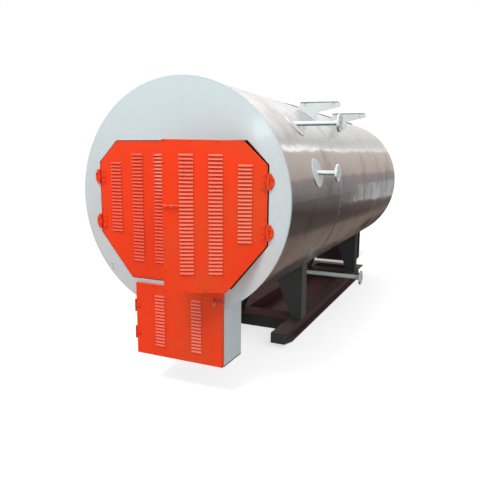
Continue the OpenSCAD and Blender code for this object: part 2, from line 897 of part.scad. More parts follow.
// Round collar that follows the cladding round a gauge pipe.
module collar(height) {
    lean = asin(height / clad_r);
    difference() {
        intersection() {
            drum_tube(clad_r + seat_gap + collar_t, collar_t, face_y + gauge_at - collar_d, 2 * collar_d);
            translate([0, face_y + gauge_at, axis_z]) rotate([0, 90 - lean, 0])
                cylinder(h = 2 * rim_r, r = collar_d / 2);
        }
        gauge_hole(height);
    }
}

module upper_collar() {
    color(steel) collar(gauge_upper);
}

module lower_collar() {
    color(nozzle_grey) collar(gauge_lower);
}

drain_bend_r = 1.5 * drain_pipe_d;

// Centre line of the drain: down out of the drum, round a bend, then along X.
module drain_run(r, extra) {
    riser_top = axis_z - sqrt(pow(rear_clad_r, 2) - pow(drain_riser_x, 2)) + drain_pipe_d;
    bend_z = drain_z + drain_bend_r;
    translate([-drain_riser_x, 0, bend_z]) cylinder(h = riser_top - bend_z + extra, r = r);
    translate([drain_bend_r - drain_riser_x, 0, bend_z]) rotate([90, 0, 0]) rotate([0, 0, 180])
        rotate_extrude(angle = 90) translate([drain_bend_r, 0]) circle(r);
}

module drain_pipe() {
    color(nozzle_grey) translate([0, face_y + drain_at, 0]) {
        difference() {
            drain_run(drain_pipe_d / 2, 0);
            drain_run(drain_pipe_d / 2 - pipe_wall, over);
        }
        translate([0, 0, drain_z])
            flanged_pipe(drain_bend_r - drain_riser_x, drain_face_x, drain_pipe_d, drain_flange_d,
                drain_pcd, drain_flange_t);
    }
}

// Bracket plate that stands on the crest and reaches out to the right.
module bracket(y) {
    r = drum_r_at(y) + seat_gap;
    end_r = 26;
    inner_end = [0, axis_z] + rim_r * [0.493, 0.931];
    outer_end = inner_end + [bracket_reach, -4];
    knee = inner_end + [155, -70];
    foot = [0, axis_z] + rim_r * [0.638, 0.667];
    heel = [inner_end[0] - end_r, foot[1]];
    middle = (inner_end + outer_end) / 2;
    color(nozzle_grey) translate([0, y - bracket_t / 2, 0]) difference() {
        along_y(0, bracket_t) {
            polygon([
                [inner_end[0] - end_r, inner_end[1]],
                heel,
                foot,
                knee,
                [outer_end[0], outer_end[1] - end_r],
                [outer_end[0], outer_end[1] + end_r],
                [inner_end[0], inner_end[1] + end_r],
            ]);
            for (p = [inner_end, outer_end]) translate(p) circle(end_r, $fn = 64);
        }
        for (s = [-1, 1])
            translate([middle[0] + s * bracket_hole_pitch / 2, bracket_t + over, middle[1]])
                rotate([90, 0, 0]) cylinder(h = bracket_t + 2 * over, r = bracket_hole_d / 2);
        drum_solid(r, -bracket_t, 3 * bracket_t);
    }
}

module front_bracket() {
    bracket(face_y + bracket_at);
}

module rear_bracket() {
    bracket(face_y + bracket_at + bracket_pitch);
}

front_plate();
front_rim();
front_cladding();
rear_cladding();
bulkhead();
rear_plate();
rear_skirt();
crest_pads();
left_leaf();
right_leaf();
left_leaf_ears();
right_leaf_ears();
left_leaf_straps();
right_leaf_straps();
leaf_bolt();
service_box();
box_door();
box_hinge_plates();
box_door_straps();
door_hasp();
padlock();
left_runner();
right_runner();
runner_end_plates();
front_cross_beam();
rear_cross_beam();
end_cross_beam();
skid_floor();
front_base_plate();
rear_base_plate();
front_left_leg();
front_right_leg();
rear_left_leg();
rear_right_leg();
front_saddle_pad();
rear_saddle_pad();
upper_gauge_nozzle();
lower_gauge_nozzle();
upper_collar();
lower_collar();
drain_pipe();
front_bracket();
rear_bracket();
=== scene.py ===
"""Finishes, fittings, light and camera of a horizontal industrial boiler on its skid."""
import json
import math

import bmesh
import bpy
from bpy.props import FloatProperty, FloatVectorProperty, IntProperty, PointerProperty
from mathutils import Matrix, Vector


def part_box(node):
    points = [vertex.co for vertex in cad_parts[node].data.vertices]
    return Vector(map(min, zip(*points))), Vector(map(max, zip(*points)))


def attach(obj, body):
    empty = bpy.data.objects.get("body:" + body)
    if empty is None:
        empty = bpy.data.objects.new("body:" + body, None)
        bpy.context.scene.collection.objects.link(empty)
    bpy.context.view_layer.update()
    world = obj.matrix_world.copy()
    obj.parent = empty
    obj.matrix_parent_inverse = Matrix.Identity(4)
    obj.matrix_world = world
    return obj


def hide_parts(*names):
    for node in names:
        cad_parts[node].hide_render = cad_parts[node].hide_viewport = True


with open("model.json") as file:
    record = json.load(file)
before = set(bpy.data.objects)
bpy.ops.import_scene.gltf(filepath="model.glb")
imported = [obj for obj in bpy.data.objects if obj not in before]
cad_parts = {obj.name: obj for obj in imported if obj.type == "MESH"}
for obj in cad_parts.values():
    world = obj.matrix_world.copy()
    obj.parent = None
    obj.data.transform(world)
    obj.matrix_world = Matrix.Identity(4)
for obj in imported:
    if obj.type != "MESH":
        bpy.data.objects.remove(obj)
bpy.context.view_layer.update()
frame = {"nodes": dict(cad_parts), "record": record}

bl_info = {
    "name": "Industrial boiler",
    "version": (1, 0, 0),
    "blender": (4, 5, 0),
    "location": "3D View > Sidebar > Boiler",
    "description": "Finishes and fittings of a horizontal boiler with louvred front leaves",
    "category": "Object",
}

# Drum
AXIS_Z = 1.543
FACE_Y = -1.783
SEAM_Y = FACE_Y + 1.400
REAR_Y = FACE_Y + 4.747
REAR_COURSE_R = 0.8975
RIVET_ROW = 0.018

# Front leaves, with the outline of the right one as (x, z) where it is shut
LEAF_OUTLINE = [(0.004, 0.898), (0.444, 0.898), (0.730, 1.241), (0.730, 1.808), (0.564, 1.972),
                (0.004, 1.972)]
LEAF_PIVOT = (0.733, FACE_Y - 0.013)
AJAR = math.radians(25.4)
LEAF_HINGES_Z = (AXIS_Z + 0.150, AXIS_Z - 0.208)
EAR_BOLT_X = 0.761
STRAP_BOLT_X = 0.698
STRAP_FACE_Y = FACE_Y - 0.006

# Service box
BOX_HINGES_Z = (0.672, 0.448)
BOX_BOLTS_X = (-0.375, -0.358)
BOX_STRAP_FACE_Y = FACE_Y - 0.036
BOX_DOOR_FACE_Y = FACE_Y - 0.033
PLATE_SCREWS = ((-0.646, 0.984), (-0.637, 0.954))

# Pipes
GAUGE_WELD_X = 1.032
GAUGE_Y = FACE_Y + 0.690
GAUGES_Z = (AXIS_Z + 0.596, AXIS_Z + 0.207)
GAUGE_WELD_R = 0.0195
DRAIN_Y = FACE_Y + 2.600
DRAIN_Z = 0.467
DRAIN_WELDS = ((0.862, 0.029), (-0.1145, 0.0287))

# Skid
SADDLES_Y = (0.0, 2.550)
SADDLE_R = 0.9101
LEG_HALF = 0.0775
LEG_FOOT_Z = 0.151
LEG_FOOT_X = (0.312, 0.429)
LEG_OUTER_X = 0.4295
LEG_ARC_X = (0.118, 0.428)
FLANGE_T = 0.010
WEB_T = 0.007
PLATE_T = 0.008
RUNNER_HALF = 0.075

# Camera
CAMERA_PLACE = (2.0459, -4.9577, 1.8360)
CAMERA_TURN = math.radians(22.38)
CAMERA_DOWN = math.radians(9.22)
CAMERA_ROLL = 0.0156
CAMERA_LENS = 36.95
CAMERA_SHIFT = (-0.0598, 0.0021)


def colour_property(name, description, default):
    return FloatVectorProperty(
        name=name, description=description, default=default, size=3, min=0, max=1, subtype="COLOR"
    )


def length_property(name, description, default, low, high):
    return FloatProperty(
        name=name, description=description, default=default, min=low, max=high,
        unit="LENGTH", precision=4,
    )


class BoilerFinishSettings(bpy.types.PropertyGroup):
    """Colours of the boiler's paints and metals."""

    front: colour_property("Front paint", "Pale paint of the front plate and box", (0.60, 0.60, 0.605))
    door: colour_property("Door paint", "Orange paint of the leaves and box door", (0.90, 0.046, 0.005))
    sheet: colour_property("Cladding sheet", "Bare sheet round the drum", (0.60, 0.585, 0.57))
    skid: colour_property("Skid paint", "Dark paint of the legs and beams", (0.060, 0.060, 0.059))
    primer: colour_property("Primer", "Red-brown primer of the runners", (0.072, 0.041, 0.040))
    nozzle: colour_property("Nozzle paint", "Pale paint of nozzles and brackets", (0.70, 0.76, 0.76))
    lock: colour_property("Lock steel", "Padlock and its shackle", (0.76, 0.25, 0.16))
    # A painted highlight: the door paint's colour on faces that look up
    faded: colour_property("Faded paint", "Door paint where it looks up", (0.95, 0.132, 0.07))
    dust: colour_property("Dust", "Dust that lies on upward faces", (0.10, 0.075, 0.065))


class BoilerFittingSettings(bpy.types.PropertyGroup):
    """Sizes of the small fittings."""

    screw_d: length_property("Screw head", "Diameter of a sheet screw's head", 0.009, 0.005, 0.014)
    screw_gap: length_property("Screw spacing", "Distance between screws along an edge", 0.16, 0.05, 0.3)
    screw_inset: length_property("Screw inset", "Distance of the screws from an edge", 0.012, 0.008, 0.03)
    rivet_d: length_property("Rivet head", "Diameter of a cladding rivet's head", 0.008, 0.004, 0.012)
    rivet_count: IntProperty(
        name="Seam rivets", description="Rivets round the cladding seam", default=80, min=20, max=160
    )
    bolt_d: length_property("Hinge bolt", "Size across the flats of a hinge bolt", 0.013, 0.008, 0.019)
    nose_rise: length_property("Nose height", "Height of a runner's underside at its front", 0.046, 0, 0.08)
    nose_len: length_property("Nose length", "Length of the slope under a runner's front", 0.220, 0.05, 0.4)
    bead_r: length_property("Weld bead", "Radius of a weld bead", 0.004, 0.002, 0.008)
    bead_ripple: length_property("Weld ripple", "Distance between two ripples", 0.006, 0.003, 0.012)
    seed: IntProperty(name="Seed", description="Seed of the screws' turns", default=7, min=0)


# Material trees


def add(tree, kind, **settings):
    node = tree.nodes.new(kind)
    for key, value in settings.items():
        setattr(node, key, value)
    return node


def put(tree, socket, value):
    """Links a socket, or writes a plain value to it."""
    if isinstance(value, bpy.types.NodeSocket):
        tree.links.new(value, socket)
    elif isinstance(value, tuple) and len(value) == 3 and socket.type == "RGBA":
        socket.default_value = (*value, 1)
    else:
        socket.default_value = value


def cloud(tree, scale, detail=3.0, stretch=(1, 1, 1), rough=0.55):
    """Noise on object coordinates, from about 0.3 to 0.7."""
    place = add(tree, "ShaderNodeTexCoord").outputs["Object"]
    fit = add(tree, "ShaderNodeMapping")
    put(tree, fit.inputs["Vector"], place)
    fit.inputs["Scale"].default_value = stretch
    noise = add(tree, "ShaderNodeTexNoise")
    put(tree, noise.inputs["Vector"], fit.outputs["Vector"])
    noise.inputs["Scale"].default_value = scale
    noise.inputs["Detail"].default_value = detail
    noise.inputs["Roughness"].default_value = rough
    return noise.outputs["Fac"]


def ranged(tree, value, low, high, to_low, to_high, smooth=False):
    node = add(tree, "ShaderNodeMapRange")
    if smooth:
        node.interpolation_type = "SMOOTHSTEP"
    put(tree, node.inputs[0], value)
    for i, v in enumerate((low, high, to_low, to_high), 1):
        node.inputs[i].default_value = v
    return node.outputs[0]


def blend(tree, factor, a, b):
    node = add(tree, "ShaderNodeMix", data_type="RGBA")
    put(tree, node.inputs[0], factor)
    put(tree, node.inputs[6], a)
    put(tree, node.inputs[7], b)
    return node.outputs[2]


def times(tree, a, b, how="MULTIPLY"):
    node = add(tree, "ShaderNodeMath", operation=how)
    put(tree, node.inputs[0], a)
    put(tree, node.inputs[1], b)
    return node.outputs[0]


def bumped(tree, height, strength, distance, below=None):
    node = add(tree, "ShaderNodeBump")
    node.inputs["Strength"].default_value = strength
    node.inputs["Distance"].default_value = distance
    put(tree, node.inputs["Height"], height)
    if below is not None:
        put(tree, node.inputs["Normal"], below)
    return node.outputs["Normal"]


def shade(colour, k):
    return tuple(min(1.0, max(0.0, c * k)) for c in colour)


def tinted(colour, red, green, blue):
    return (colour[0] * red, colour[1] * green, colour[2] * blue)


def axes(tree, kind, output):
    """X, Y and Z of a vector that a node gives."""
    split = add(tree, "ShaderNodeSeparateXYZ")
    put(tree, split.inputs[0], add(tree, kind).outputs[output])
    return split.outputs


def spot(tree):
    """X, Y and Z of the place on the object."""
    return axes(tree, "ShaderNodeTexCoord", "Object")


def looks(tree):
    """X, Y and Z of the direction that a face looks in."""
    return axes(tree, "ShaderNodeNewGeometry", "Normal")


def steps(tree, *edges):
    """The product of smooth steps, with each given as (value, where 0, where 1)."""
    total = 1.0
    for value, low, high in edges:
        total = times(tree, ranged(tree, value, low, high, 0, 1, True), total)
    return total


def rest(tree, value):
    """What is left of 1."""
    return times(tree, 1.0, value, "SUBTRACT")


def upward(tree, low=0.55, high=0.95):
    """1 on faces that look up, 0 on walls and undersides."""
    return ranged(tree, looks(tree)["Z"], low, high, 0, 1)


def near(tree, reach, centre):
    """1 within reach of a place, where a None in the place leaves that direction out."""
    here = spot(tree)
    total = 0.0
    for i, place in enumerate(centre):
        if place is not None:
            away = times(tree, here[i], place, "SUBTRACT")
            total = times(tree, times(tree, away, away), total, "ADD")
    return ranged(tree, times(tree, total, 0.5, "POWER"), reach, reach * 0.8, 0, 0.85)


def within(tree, spans):
    """From 0 to 1 along object axes, with each span given as (axis, where 0, where 1)."""
    here = spot(tree)
    return steps(tree, *((here[axis], low, high) for axis, low, high in spans))


def ramped(tree, value, low, high, stops):
    """Colours along a value, with each stop given as (value, colour)."""
    ramp = add(tree, "ShaderNodeValToRGB")
    put(tree, ramp.inputs[0], ranged(tree, value, low, high, 0, 1))
    for i, (place, colour) in enumerate(stops):
        place = (place - low) / (high - low)
        stop = ramp.color_ramp.elements[i] if i < 2 else ramp.color_ramp.elements.new(place)
        stop.position = place
        stop.color = (*colour, 1)
    return ramp.outputs[0]


def new_finish(name, colour):
    """An empty material with its shader, and a plain colour for the solid view."""
    mat = bpy.data.materials.new(name)
    mat.use_nodes = True
    mat.diffuse_color = (*colour, 1)
    return mat, mat.node_tree, mat.node_tree.nodes["Principled BSDF"]


def paint_finish(name, colour, rough, mottle, grime, dust=0.0, dust_colour=None, gloss=0.5,
                 coat=0.0, below=0.0, corners=0.0, alone=True, sideways=0.0, marks=(),
                 patchy=None, sky_tint_spans=(), faded=None, paler=None, fading=()):
    """Sprayed paint: faint clouds, orange peel, a little grime, thin scuffs, dust on top.

    Painted shade darkens the undersides as far as below says and the corners as far as corners
    says, and the paint is darker near the marks. Patches have the colour patchy, and so has all
    the paint where the sky tint spans rise: a painted sky reflection. Faces that look up take the
    upward tint, and the colour paler where the paler spans rise; on the door paints these are
    painted highlights. Faces that look along X are lighter by the painted side light."""
    colour = tuple(colour)
    mat, tree, shader = new_finish(name, colour)
    clouds = ranged(tree, cloud(tree, 2.3, 4), 0.35, 0.65, 0, 1)
    base = blend(tree, clouds, shade(colour, 1 - mottle), shade(colour, 1 + mottle))
    if patchy:
        patches = ranged(tree, cloud(tree, 1.3, 5), 0.48, 0.66, 0, 0.9, True)
        base = blend(tree, patches, base, patchy)
    # Where the sky tint spans rise the paint takes the colour patchy throughout: a painted sky reflection
    if sky_tint_spans:
        base = blend(tree, within(tree, sky_tint_spans), base, patchy)
    streaks = cloud(tree, 5.0, 5, (3.0, 3.0, 0.35))
    dirty = ranged(tree, streaks, 0.56, 0.74, 0, grime, True)
    base = blend(tree, dirty, base, shade(colour, 0.45))
    scuff = ranged(tree, cloud(tree, 26.0, 2, (0.25, 1.0, 3.0)), 0.70, 0.76, 0, 0.35, True)
    base = blend(tree, scuff, base, shade(colour, 1.25))
    for reach, centre in marks:
        base = blend(tree, near(tree, reach, centre), base, shade(colour, 0.12))
    # Painted shade on the undersides
    if below:
        under = times(tree, upward(tree, -0.25, -0.50), below)
        base = blend(tree, under, base, shade(colour, 0.15))
    # Painted shade in corners and hollows, read from ambient occlusion
    if corners:
        hidden = add(tree, "ShaderNodeAmbientOcclusion", samples=8, only_local=alone)
        hidden.inputs["Distance"].default_value = 0.03
        corner_shade = ranged(tree, hidden.outputs["AO"], 0.95, 0.70, 0, corners)
        base = blend(tree, corner_shade, base, shade(colour, 0.30))
    # Faces that look up take the upward tint, paler where the paler spans rise; on the door paints this is
    # a painted highlight
    if faded is not None:
        faded = blend(tree, within(tree, fading), tuple(faded), paler)
        base = blend(tree, times(tree, upward(tree, 0.15, 0.5), 0.9), base, faded)
    if dust:
        lies = times(tree, upward(tree), ranged(tree, cloud(tree, 7.0, 5), 0.3, 0.7, 0.5, 1))
        base = blend(tree, times(tree, lies, dust), base, tuple(dust_colour))
    # Painted side light: faces that look along X are lighter
    if sideways:
        lit = ranged(tree, looks(tree)["X"], 0.6, 0.9, 0, 1)
        base = blend(tree, lit, base, shade(colour, 1 + sideways))
    put(tree, shader.inputs["Base Color"], base)
    put(tree, shader.inputs["Roughness"],
        ranged(tree, cloud(tree, 11.0, 4), 0.3, 0.7, rough - 0.06, rough + 0.09))
    shader.inputs["Specular IOR Level"].default_value = gloss
    shader.inputs["Coat Weight"].default_value = coat
    shader.inputs["Coat Roughness"].default_value = 0.11
    panel = bumped(tree, cloud(tree, 3.5, 1), 0.10, 0.004)
    peel = bumped(tree, cloud(tree, 420.0, 1), 0.10, 0.0004, panel)
    put(tree, shader.inputs["Normal"], peel)
    return mat


def sheet_finish(name, colour):
    """Thin rolled sheet: soft waves, brush lines and stains round the drum.

    The rear rim is dark low on the drum, and the front edge is dull high on it."""
    colour = tuple(colour)
    mat, tree, shader = new_finish(name, colour)
    lines = cloud(tree, 1.0, 2, (1.0, 14.0, 1.0))
    marks = cloud(tree, 1.6, 5, (1.0, 0.7, 1.3))
    stains = cloud(tree, 2.6, 4, (1.0, 1.3, 1.0), 0.6)
    base = blend(tree, ranged(tree, lines, 0.3, 0.7, 0, 1), shade(colour, 0.98), shade(colour, 1.02))
    base = blend(tree, ranged(tree, marks, 0.5, 0.72, 0, 0.30, True), base,
                 tinted(colour, 0.80, 0.76, 0.72))
    top = upward(tree, 0.45, 0.80)
    stained = times(tree, ranged(tree, stains, 0.50, 0.70, 0, 0.80, True),
                    rest(tree, times(tree, top, 0.65)))
    base = blend(tree, stained, base, shade(colour, 0.66))
    rim = within(tree, ((1, REAR_Y - 0.074, REAR_Y - 0.049), (2, 1.75, 1.50)))
    base = blend(tree, rim, base, (0.06, 0.03, 0.025))
    put(tree, shader.inputs["Base Color"], base)
    edge = times(tree, ranged(tree, looks(tree)["Y"], -0.6, -0.9, 0, 0.7),
                 ranged(tree, spot(tree)["Z"], 1.4, 1.7, 0, 1))
    put(tree, shader.inputs["Metallic"], rest(tree, edge))
    worn = times(tree, ranged(tree, marks, 0.35, 0.7, 0.0, 0.06),
                 ranged(tree, stains, 0.45, 0.65, 0.07, 0.14), "ADD")
    worn = times(tree, worn, times(tree, upward(tree), 0.27), "ADD")
    worn = times(tree, worn, times(tree, upward(tree, -0.50, -0.85), 0.20), "ADD")
    put(tree, shader.inputs["Roughness"], worn)
    wave = bumped(tree, cloud(tree, 1.0, 1.5, (1.5, 0.9, 1.5)), 1.0, 0.015)
    put(tree, wave.node.inputs["Strength"], rest(tree, times(tree, top, 0.5)))
    dent = bumped(tree, cloud(tree, 4.5, 2.5, (1.1, 0.7, 1.1)), 1.0, 0.0030, wave)
    put(tree, shader.inputs["Normal"], dent)
    return mat


def metal_finish(name, colour, rough, metallic=1.0):
    """Zinc or worn steel of small parts."""
    colour = tuple(colour)
    mat, tree, shader = new_finish(name, colour)
    stain = ranged(tree, cloud(tree, 90.0, 4), 0.4, 0.65, 0, 0.7)
    put(tree, shader.inputs["Base Color"], blend(tree, stain, shade(colour, 1.1), shade(colour, 0.6)))
    shader.inputs["Metallic"].default_value = metallic
    put(tree, shader.inputs["Roughness"], ranged(tree, stain, 0, 1, rough - 0.08, rough + 0.14))
    put(tree, shader.inputs["Normal"], bumped(tree, cloud(tree, 600.0, 2), 0.15, 0.0003))
    return mat


# Mesh work


def piece_from(bm, name, mat, body):
    """Turns a bmesh into a piece at the origin that rides on a body."""
    mesh = bpy.data.meshes.new(name)
    bmesh.ops.recalc_face_normals(bm, faces=bm.faces)
    bm.to_mesh(mesh)
    bm.free()
    mesh.materials.append(mat)
    obj = bpy.data.objects.new(name, mesh)
    bpy.context.scene.collection.objects.link(obj)
    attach(obj, body)
    return obj


def slab(bm, side, low, high):
    """A prism between two values of X from its side view, given as (y, z) corners."""
    walls = [[bm.verts.new((x, y, z)) for y, z in side] for x in (low, high)]
    bm.faces.new(walls[0])
    bm.faces.new(walls[1])
    for i in range(len(side)):
        j = (i + 1) % len(side)
        bm.faces.new((walls[0][i], walls[0][j], walls[1][j], walls[1][i]))


def turned(profile, segments):
    """A closed solid turned about Z from a profile of (radius, height) that starts and ends at 0."""
    bm = bmesh.new()
    rings = []
    for r, z in profile:
        if r < 1e-9:
            rings.append([bm.verts.new((0, 0, z))])
        else:
            rings.append([
                bm.verts.new((r * math.cos(a), r * math.sin(a), z))
                for a in (2 * math.pi * i / segments for i in range(segments))
            ])
    for low, high in zip(rings, rings[1:]):
        for i in range(segments):
            j = (i + 1) % segments
            corners = [low[i % len(low)], low[j % len(low)], high[j % len(high)], high[i % len(high)]]
            face = list(dict.fromkeys(corners))
            if len(face) > 2:
                bm.faces.new(face)
    bmesh.ops.recalc_face_normals(bm, faces=bm.faces)
    mesh = bpy.data.meshes.new("turned")
    bm.to_mesh(mesh)
    bm.free()
    mesh.shade_smooth()
    mesh.set_sharp_from_angle(angle=math.radians(35))
    return bpy.data.objects.new("turned", mesh)


def screw_shape(d):
    """A low pan head with a dimple in it."""
    r, h = d / 2, d * 0.32
    return turned([(0, 0), (r, 0), (r * 0.96, h * 0.5), (r * 0.7, h), (r * 0.3, h), (0, h * 0.35)], 12)


def rivet_shape(d):
    r, h = d / 2, d * 0.28
    return turned([(0, 0), (r, 0), (r * 0.9, h * 0.45), (r * 0.55, h * 0.9), (0, h)], 10)


def bolt_shape(flats):
    """A hexagon head on a washer."""
    head_r = flats / math.sqrt(3)
    bm = bmesh.new()
    h, washer = flats * 0.55, flats * 0.14
    for r, low, high, n in ((flats * 0.95, 0, washer, 20), (head_r, washer, washer + h, 6)):
        bmesh.ops.create_cone(
            bm, cap_ends=True, segments=n, radius1=r, radius2=r * (0.94 if n == 6 else 1),
            depth=high - low, matrix=Matrix.Translation((0, 0, (low + high) / 2)),
        )
    mesh = bpy.data.meshes.new("bolt")
    bm.to_mesh(mesh)
    bm.free()
    return bpy.data.objects.new("bolt", mesh)


def group_socket(group, name, kind, default=None):
    socket = group.interface.new_socket(name=name, in_out="INPUT", socket_type=kind)
    if default is not None:
        socket.default_value = default
    return socket.identifier


def fitting_group():
    """Geometry Nodes that set one fitting on each point, along the point's own direction."""
    group = bpy.data.node_groups.new("Fittings on points", "GeometryNodeTree")
    ids = {
        "points": group_socket(group, "Points", "NodeSocketGeometry"),
        "shape": group_socket(group, "Shape", "NodeSocketObject"),
        "size": group_socket(group, "Size", "NodeSocketFloat", 1.0),
        "seed": group_socket(group, "Seed", "NodeSocketInt", 7),
        "finish": group_socket(group, "Finish", "NodeSocketMaterial"),
    }
    group.interface.new_socket(name="Fittings", in_out="OUTPUT", socket_type="NodeSocketGeometry")
    given = add(group, "NodeGroupInput").outputs
    shape = add(group, "GeometryNodeObjectInfo")
    put(group, shape.inputs["Object"], given["Shape"])
    facing = add(group, "GeometryNodeInputNamedAttribute", data_type="FLOAT_VECTOR")
    facing.inputs["Name"].default_value = "facing"
    align = add(group, "FunctionNodeAlignRotationToVector", axis="Z")
    put(group, align.inputs["Vector"], facing.outputs["Attribute"])
    chance = add(group, "FunctionNodeRandomValue", data_type="FLOAT")
    chance.inputs[3].default_value = 6.28
    put(group, chance.inputs["Seed"], given["Seed"])
    turn = add(group, "FunctionNodeAxisAngleToRotation")
    put(group, turn.inputs["Angle"], chance.outputs[1])
    both = add(group, "FunctionNodeRotateRotation", rotation_space="LOCAL")
    put(group, both.inputs["Rotation"], align.outputs["Rotation"])
    put(group, both.inputs["Rotate By"], turn.outputs["Rotation"])
    setter = add(group, "GeometryNodeInstanceOnPoints")
    put(group, setter.inputs["Points"], given["Points"])
    put(group, setter.inputs["Instance"], shape.outputs["Geometry"])
    put(group, setter.inputs["Rotation"], both.outputs["Rotation"])
    put(group, setter.inputs["Scale"], given["Size"])
    real = add(group, "GeometryNodeRealizeInstances")
    put(group, real.inputs["Geometry"], setter.outputs["Instances"])
    finish = add(group, "GeometryNodeSetMaterial")
    put(group, finish.inputs["Geometry"], real.outputs["Geometry"])
    put(group, finish.inputs["Material"], given["Finish"])
    put(group, add(group, "NodeGroupOutput").inputs[0], finish.outputs["Geometry"])
    return group, ids


def bead_group():
    """Geometry Nodes that lay a rippled weld bead along edges."""
    group = bpy.data.node_groups.new("Weld bead", "GeometryNodeTree")
    ids = {
        "edges": group_socket(group, "Edges", "NodeSocketGeometry"),
        "radius": group_socket(group, "Radius", "NodeSocketFloat", 0.004),
        "ripple": group_socket(group, "Ripple", "NodeSocketFloat", 0.006),
        "finish": group_socket(group, "Finish", "NodeSocketMaterial"),
    }
    group.interface.new_socket(name="Bead", in_out="OUTPUT", socket_type="NodeSocketGeometry")
    given = add(group, "NodeGroupInput").outputs
    curve = add(group, "GeometryNodeMeshToCurve")
    put(group, curve.inputs["Mesh"], given["Edges"])
    step = times(group, given["Ripple"], 0.34)
    even = add(group, "GeometryNodeResampleCurve", mode="LENGTH")
    put(group, even.inputs["Curve"], curve.outputs["Curve"])
    put(group, even.inputs["Length"], step)
    along = add(group, "GeometryNodeSplineParameter").outputs["Length"]
    phase = times(group, times(group, along, 2 * math.pi), given["Ripple"], "DIVIDE")
    swell = times(group, times(group, times(group, phase, 0, "SINE"), 0.16), 1.0, "ADD")
    ring = add(group, "GeometryNodeCurvePrimitiveCircle")
    ring.inputs["Resolution"].default_value = 8
    put(group, ring.inputs["Radius"], given["Radius"])
    tube = add(group, "GeometryNodeCurveToMesh")
    put(group, tube.inputs["Curve"], even.outputs["Curve"])
    put(group, tube.inputs["Profile Curve"], ring.outputs["Curve"])
    put(group, tube.inputs["Scale"], swell)
    tube.inputs["Fill Caps"].default_value = True
    smooth = add(group, "GeometryNodeSetShadeSmooth")
    put(group, smooth.inputs["Geometry"], tube.outputs["Mesh"])
    real = add(group, "GeometryNodeRealizeInstances")
    put(group, real.inputs["Geometry"], smooth.outputs["Geometry"])
    finish = add(group, "GeometryNodeSetMaterial")
    put(group, finish.inputs["Geometry"], real.outputs["Geometry"])
    put(group, finish.inputs["Material"], given["Finish"])
    put(group, add(group, "NodeGroupOutput").inputs[0], finish.outputs["Geometry"])
    return group, ids


def grown(name, carrier, group, inputs, body):
    """Runs a node group on a carrier mesh and keeps the result as a plain piece."""
    obj = bpy.data.objects.new(name + "_carrier", carrier)
    bpy.context.scene.collection.objects.link(obj)
    modifier = obj.modifiers.new("Grow", "NODES")
    modifier.node_group = group
    for key, value in inputs.items():
        modifier[key] = value
    mesh = bpy.data.meshes.new_from_object(obj.evaluated_get(bpy.context.evaluated_depsgraph_get()))
    if not mesh.polygons:
        raise RuntimeError(f"{name} came out empty")
    obj.modifiers.remove(modifier)
    bpy.data.objects.remove(obj)
    mesh.name = name
    piece = bpy.data.objects.new(name, mesh)
    bpy.context.scene.collection.objects.link(piece)
    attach(piece, body)
    return piece


def set_fittings(name, places, shape, mat, body, seed):
    """Sets a shape on each (point, direction)."""
    carrier = bpy.data.meshes.new(name)
    carrier.from_pydata([p for p, _ in places], [], [])
    facing = carrier.attributes.new("facing", "FLOAT_VECTOR", "POINT")
    for i, (_, d) in enumerate(places):
        facing.data[i].vector = d
    bpy.context.scene.collection.objects.link(shape)
    group, ids = fitting_group()
    piece = grown(name, carrier, group,
                  {ids["shape"]: shape, ids["seed"]: seed, ids["finish"]: mat}, body)
    bpy.data.objects.remove(shape)
    return piece


def lay_beads(name, runs, mat, body):
    """Lays a bead along each run, given as (points, closed)."""
    settings = bpy.context.scene.boiler_fittings
    points, edges = [], []
    for run, closed in runs:
        first = len(points)
        points += run
        edges += [(first + i, first + i + 1) for i in range(len(run) - 1)]
        if closed:
            edges.append((len(points) - 1, first))
    carrier = bpy.data.meshes.new(name)
    carrier.from_pydata(points, edges, [])
    group, ids = bead_group()
    return grown(name, carrier, group,
                 {ids["radius"]: settings.bead_r, ids["ripple"]: settings.bead_ripple,
                  ids["finish"]: mat}, body)


def ring_points(centre, radius, count=48):
    """Points round a circle that faces along X."""
    x, y, z = centre
    turns = [2 * math.pi * i / count for i in range(count)]
    return [(x, y + radius * math.cos(a), z + radius * math.sin(a)) for a in turns]


def opened(point):
    """Takes a point of the shut right leaf to where it stands ajar."""
    x, y, z = point
    px, py = LEAF_PIVOT
    c, s = math.cos(AJAR), math.sin(AJAR)
    return (px + c * (x - px) - s * (y - py), py + s * (x - px) + c * (y - py), z)


def along_outline(corners, gap):
    """Evenly spaced points along the sides of an outline, given as (x, z)."""
    made = []
    for a, b in zip(corners, corners[1:] + corners[:1]):
        a, b = Vector(a), Vector(b)
        n = max(1, round((b - a).length / gap))
        made += [tuple(a.lerp(b, i / n)) for i in range(n)]
    return made


def inner_outline(corners, d):
    """Moves the sides of a convex outline, listed anticlockwise, inwards by d."""
    made = []
    n = len(corners)
    for i in range(n):
        before, here, after = (Vector(corners[(i + k) % n]) for k in (-1, 0, 1))
        a, b = (here - before).normalized(), (after - here).normalized()
        na, nb = Vector((-a.y, a.x)), Vector((-b.y, b.x))
        made.append(tuple(here + (na + nb) * d / (1 + na.dot(nb))))
    return made


def finish_named(name):
    return bpy.data.materials[name]


def door_finish(name, colour, faded, paler, fading):
    """Orange paint with darker patches, painted shade round the louvres and a painted highlight where it
    looks up.
    """
    return paint_finish(name, colour, 0.34, 0.03, 0.08, gloss=0.25, corners=0.35,
                        patchy=(0.80, 0.066, 0.010), faded=faded, paler=paler, fading=fading)


def skid_finish(name, colour, dust_colour):
    """Dark paint under thin dust, with painted side light on the faces that look along X."""
    return paint_finish(name, colour, 0.50, 0.10, 0.15, 0.30, dust_colour, gloss=0.3, sideways=0.6)


def primer_finish(name, colour, dust, dust_colour, gloss=0.2, **more):
    """Dull red-brown primer under dust."""
    return paint_finish(name, colour, 0.62, 0.12, 0.20, dust, dust_colour, gloss=gloss, **more)


